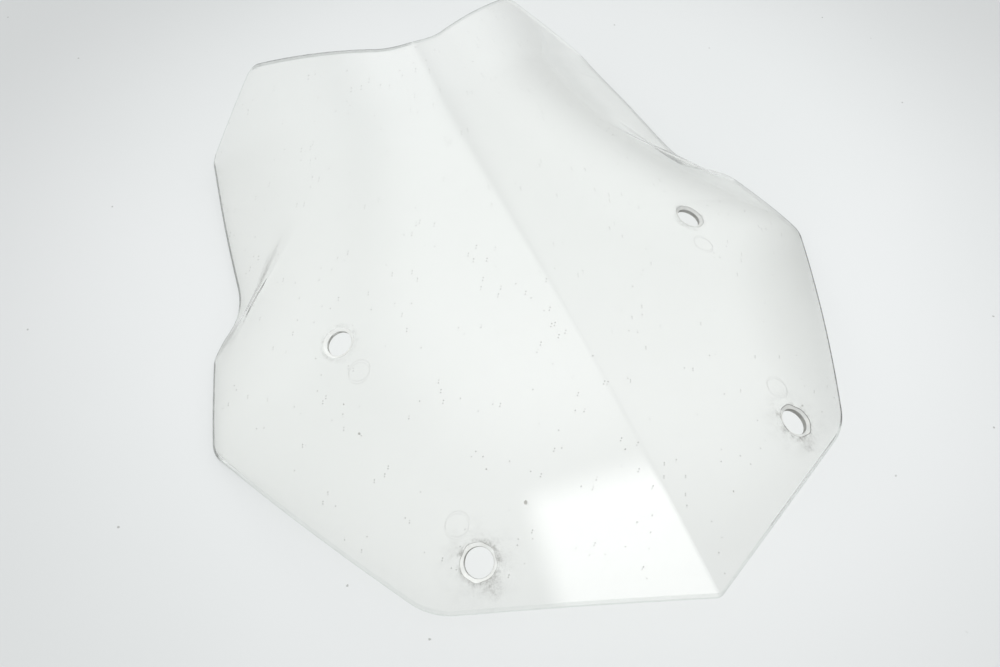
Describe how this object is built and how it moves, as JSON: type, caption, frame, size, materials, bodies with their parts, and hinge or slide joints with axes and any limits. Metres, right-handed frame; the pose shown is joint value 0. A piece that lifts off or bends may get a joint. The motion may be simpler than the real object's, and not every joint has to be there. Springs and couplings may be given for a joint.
{
  "type": "motorcycle windshield screen",
  "caption": "Clear one-piece motorcycle windshield screen: a V-ridged, faceted plastic sheet with a waisted outline, kicked-up top lip and bored mounting holes.",
  "frame": {"origin": "centre of the footprint, on the plane the screen rests on when it lies hollow side down", "axes": "+X across the screen to its right side, X = 0 is the plane of symmetry; +Y from the bottom tip to the top edge; +Z out of the convex front face"},
  "size_m": [0.3846, 0.4285, 0.0795],
  "materials": {
    "clear_plastic": "clear polished plastic, lightly scuffed"
  },
  "bodies": {
    "root": {"windshield_screen": "clear_plastic"}
  },
  "joints": []
}
